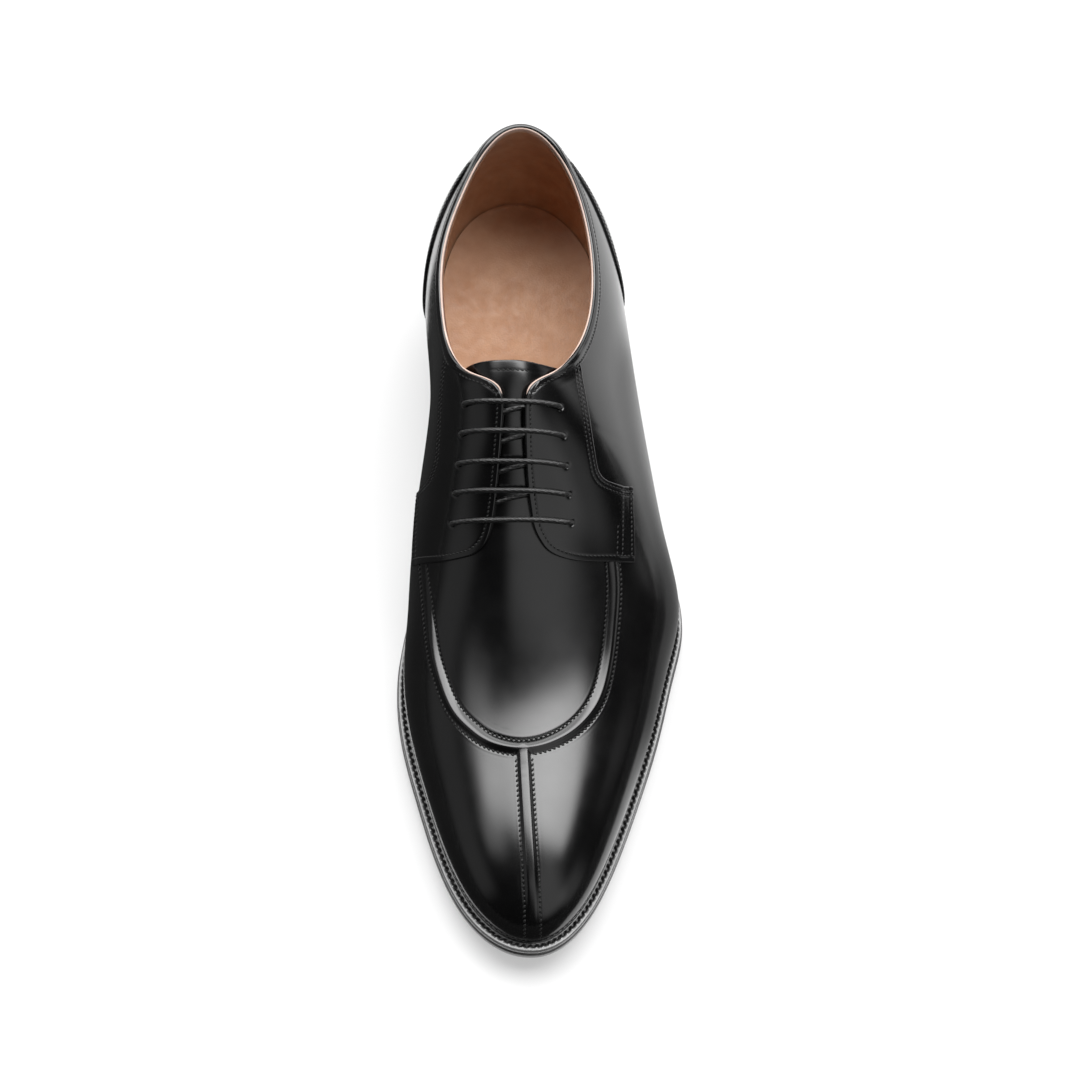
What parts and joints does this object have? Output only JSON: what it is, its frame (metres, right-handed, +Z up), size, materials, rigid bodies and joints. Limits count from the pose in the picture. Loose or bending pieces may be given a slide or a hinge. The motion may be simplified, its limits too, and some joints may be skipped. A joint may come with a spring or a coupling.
{
  "type": "derby shoe",
  "caption": "Left lace-up derby shoe in polished black leather, with a hollow upper, raised apron and split toe seams, welted sole and stacked heel.",
  "frame": {"origin": "middle of the shoe's plan, on the floor it stands on", "axes": "+Z up; +Y from toe to heel along the shoe; +X to the outer (lateral) side of the left foot"},
  "size_m": [0.1078, 0.3064, 0.1008],
  "materials": {
    "sole_leather": "black dressed leather edge, satin",
    "heel_leather": "black dressed stacked leather, satin",
    "heel_rubber": "black moulded rubber, matt",
    "welt_leather": "black dressed leather strip, satin",
    "insole_leather": "tan smooth lining leather",
    "upper_leather": "black polished calf leather, glossy",
    "tongue_leather": "black polished calf leather, glossy",
    "facing_leather": "black polished calf leather, glossy",
    "counter_leather": "black polished calf leather, glossy",
    "seam_leather": "black polished calf leather, glossy",
    "lace_cord": "black round waxed cotton cord"
  },
  "bodies": {
    "root": {"outsole": "sole_leather", "heel_stack": "heel_leather", "heel_top_lift": "heel_rubber", "welt": "welt_leather", "insole": "insole_leather", "upper": "upper_leather", "tongue": "tongue_leather", "facing_lateral": "facing_leather", "facing_medial": "facing_leather", "heel_counter": "counter_leather", "apron_seam": "seam_leather", "toe_seam": "seam_leather", "lace": "lace_cord"}
  },
  "joints": []
}
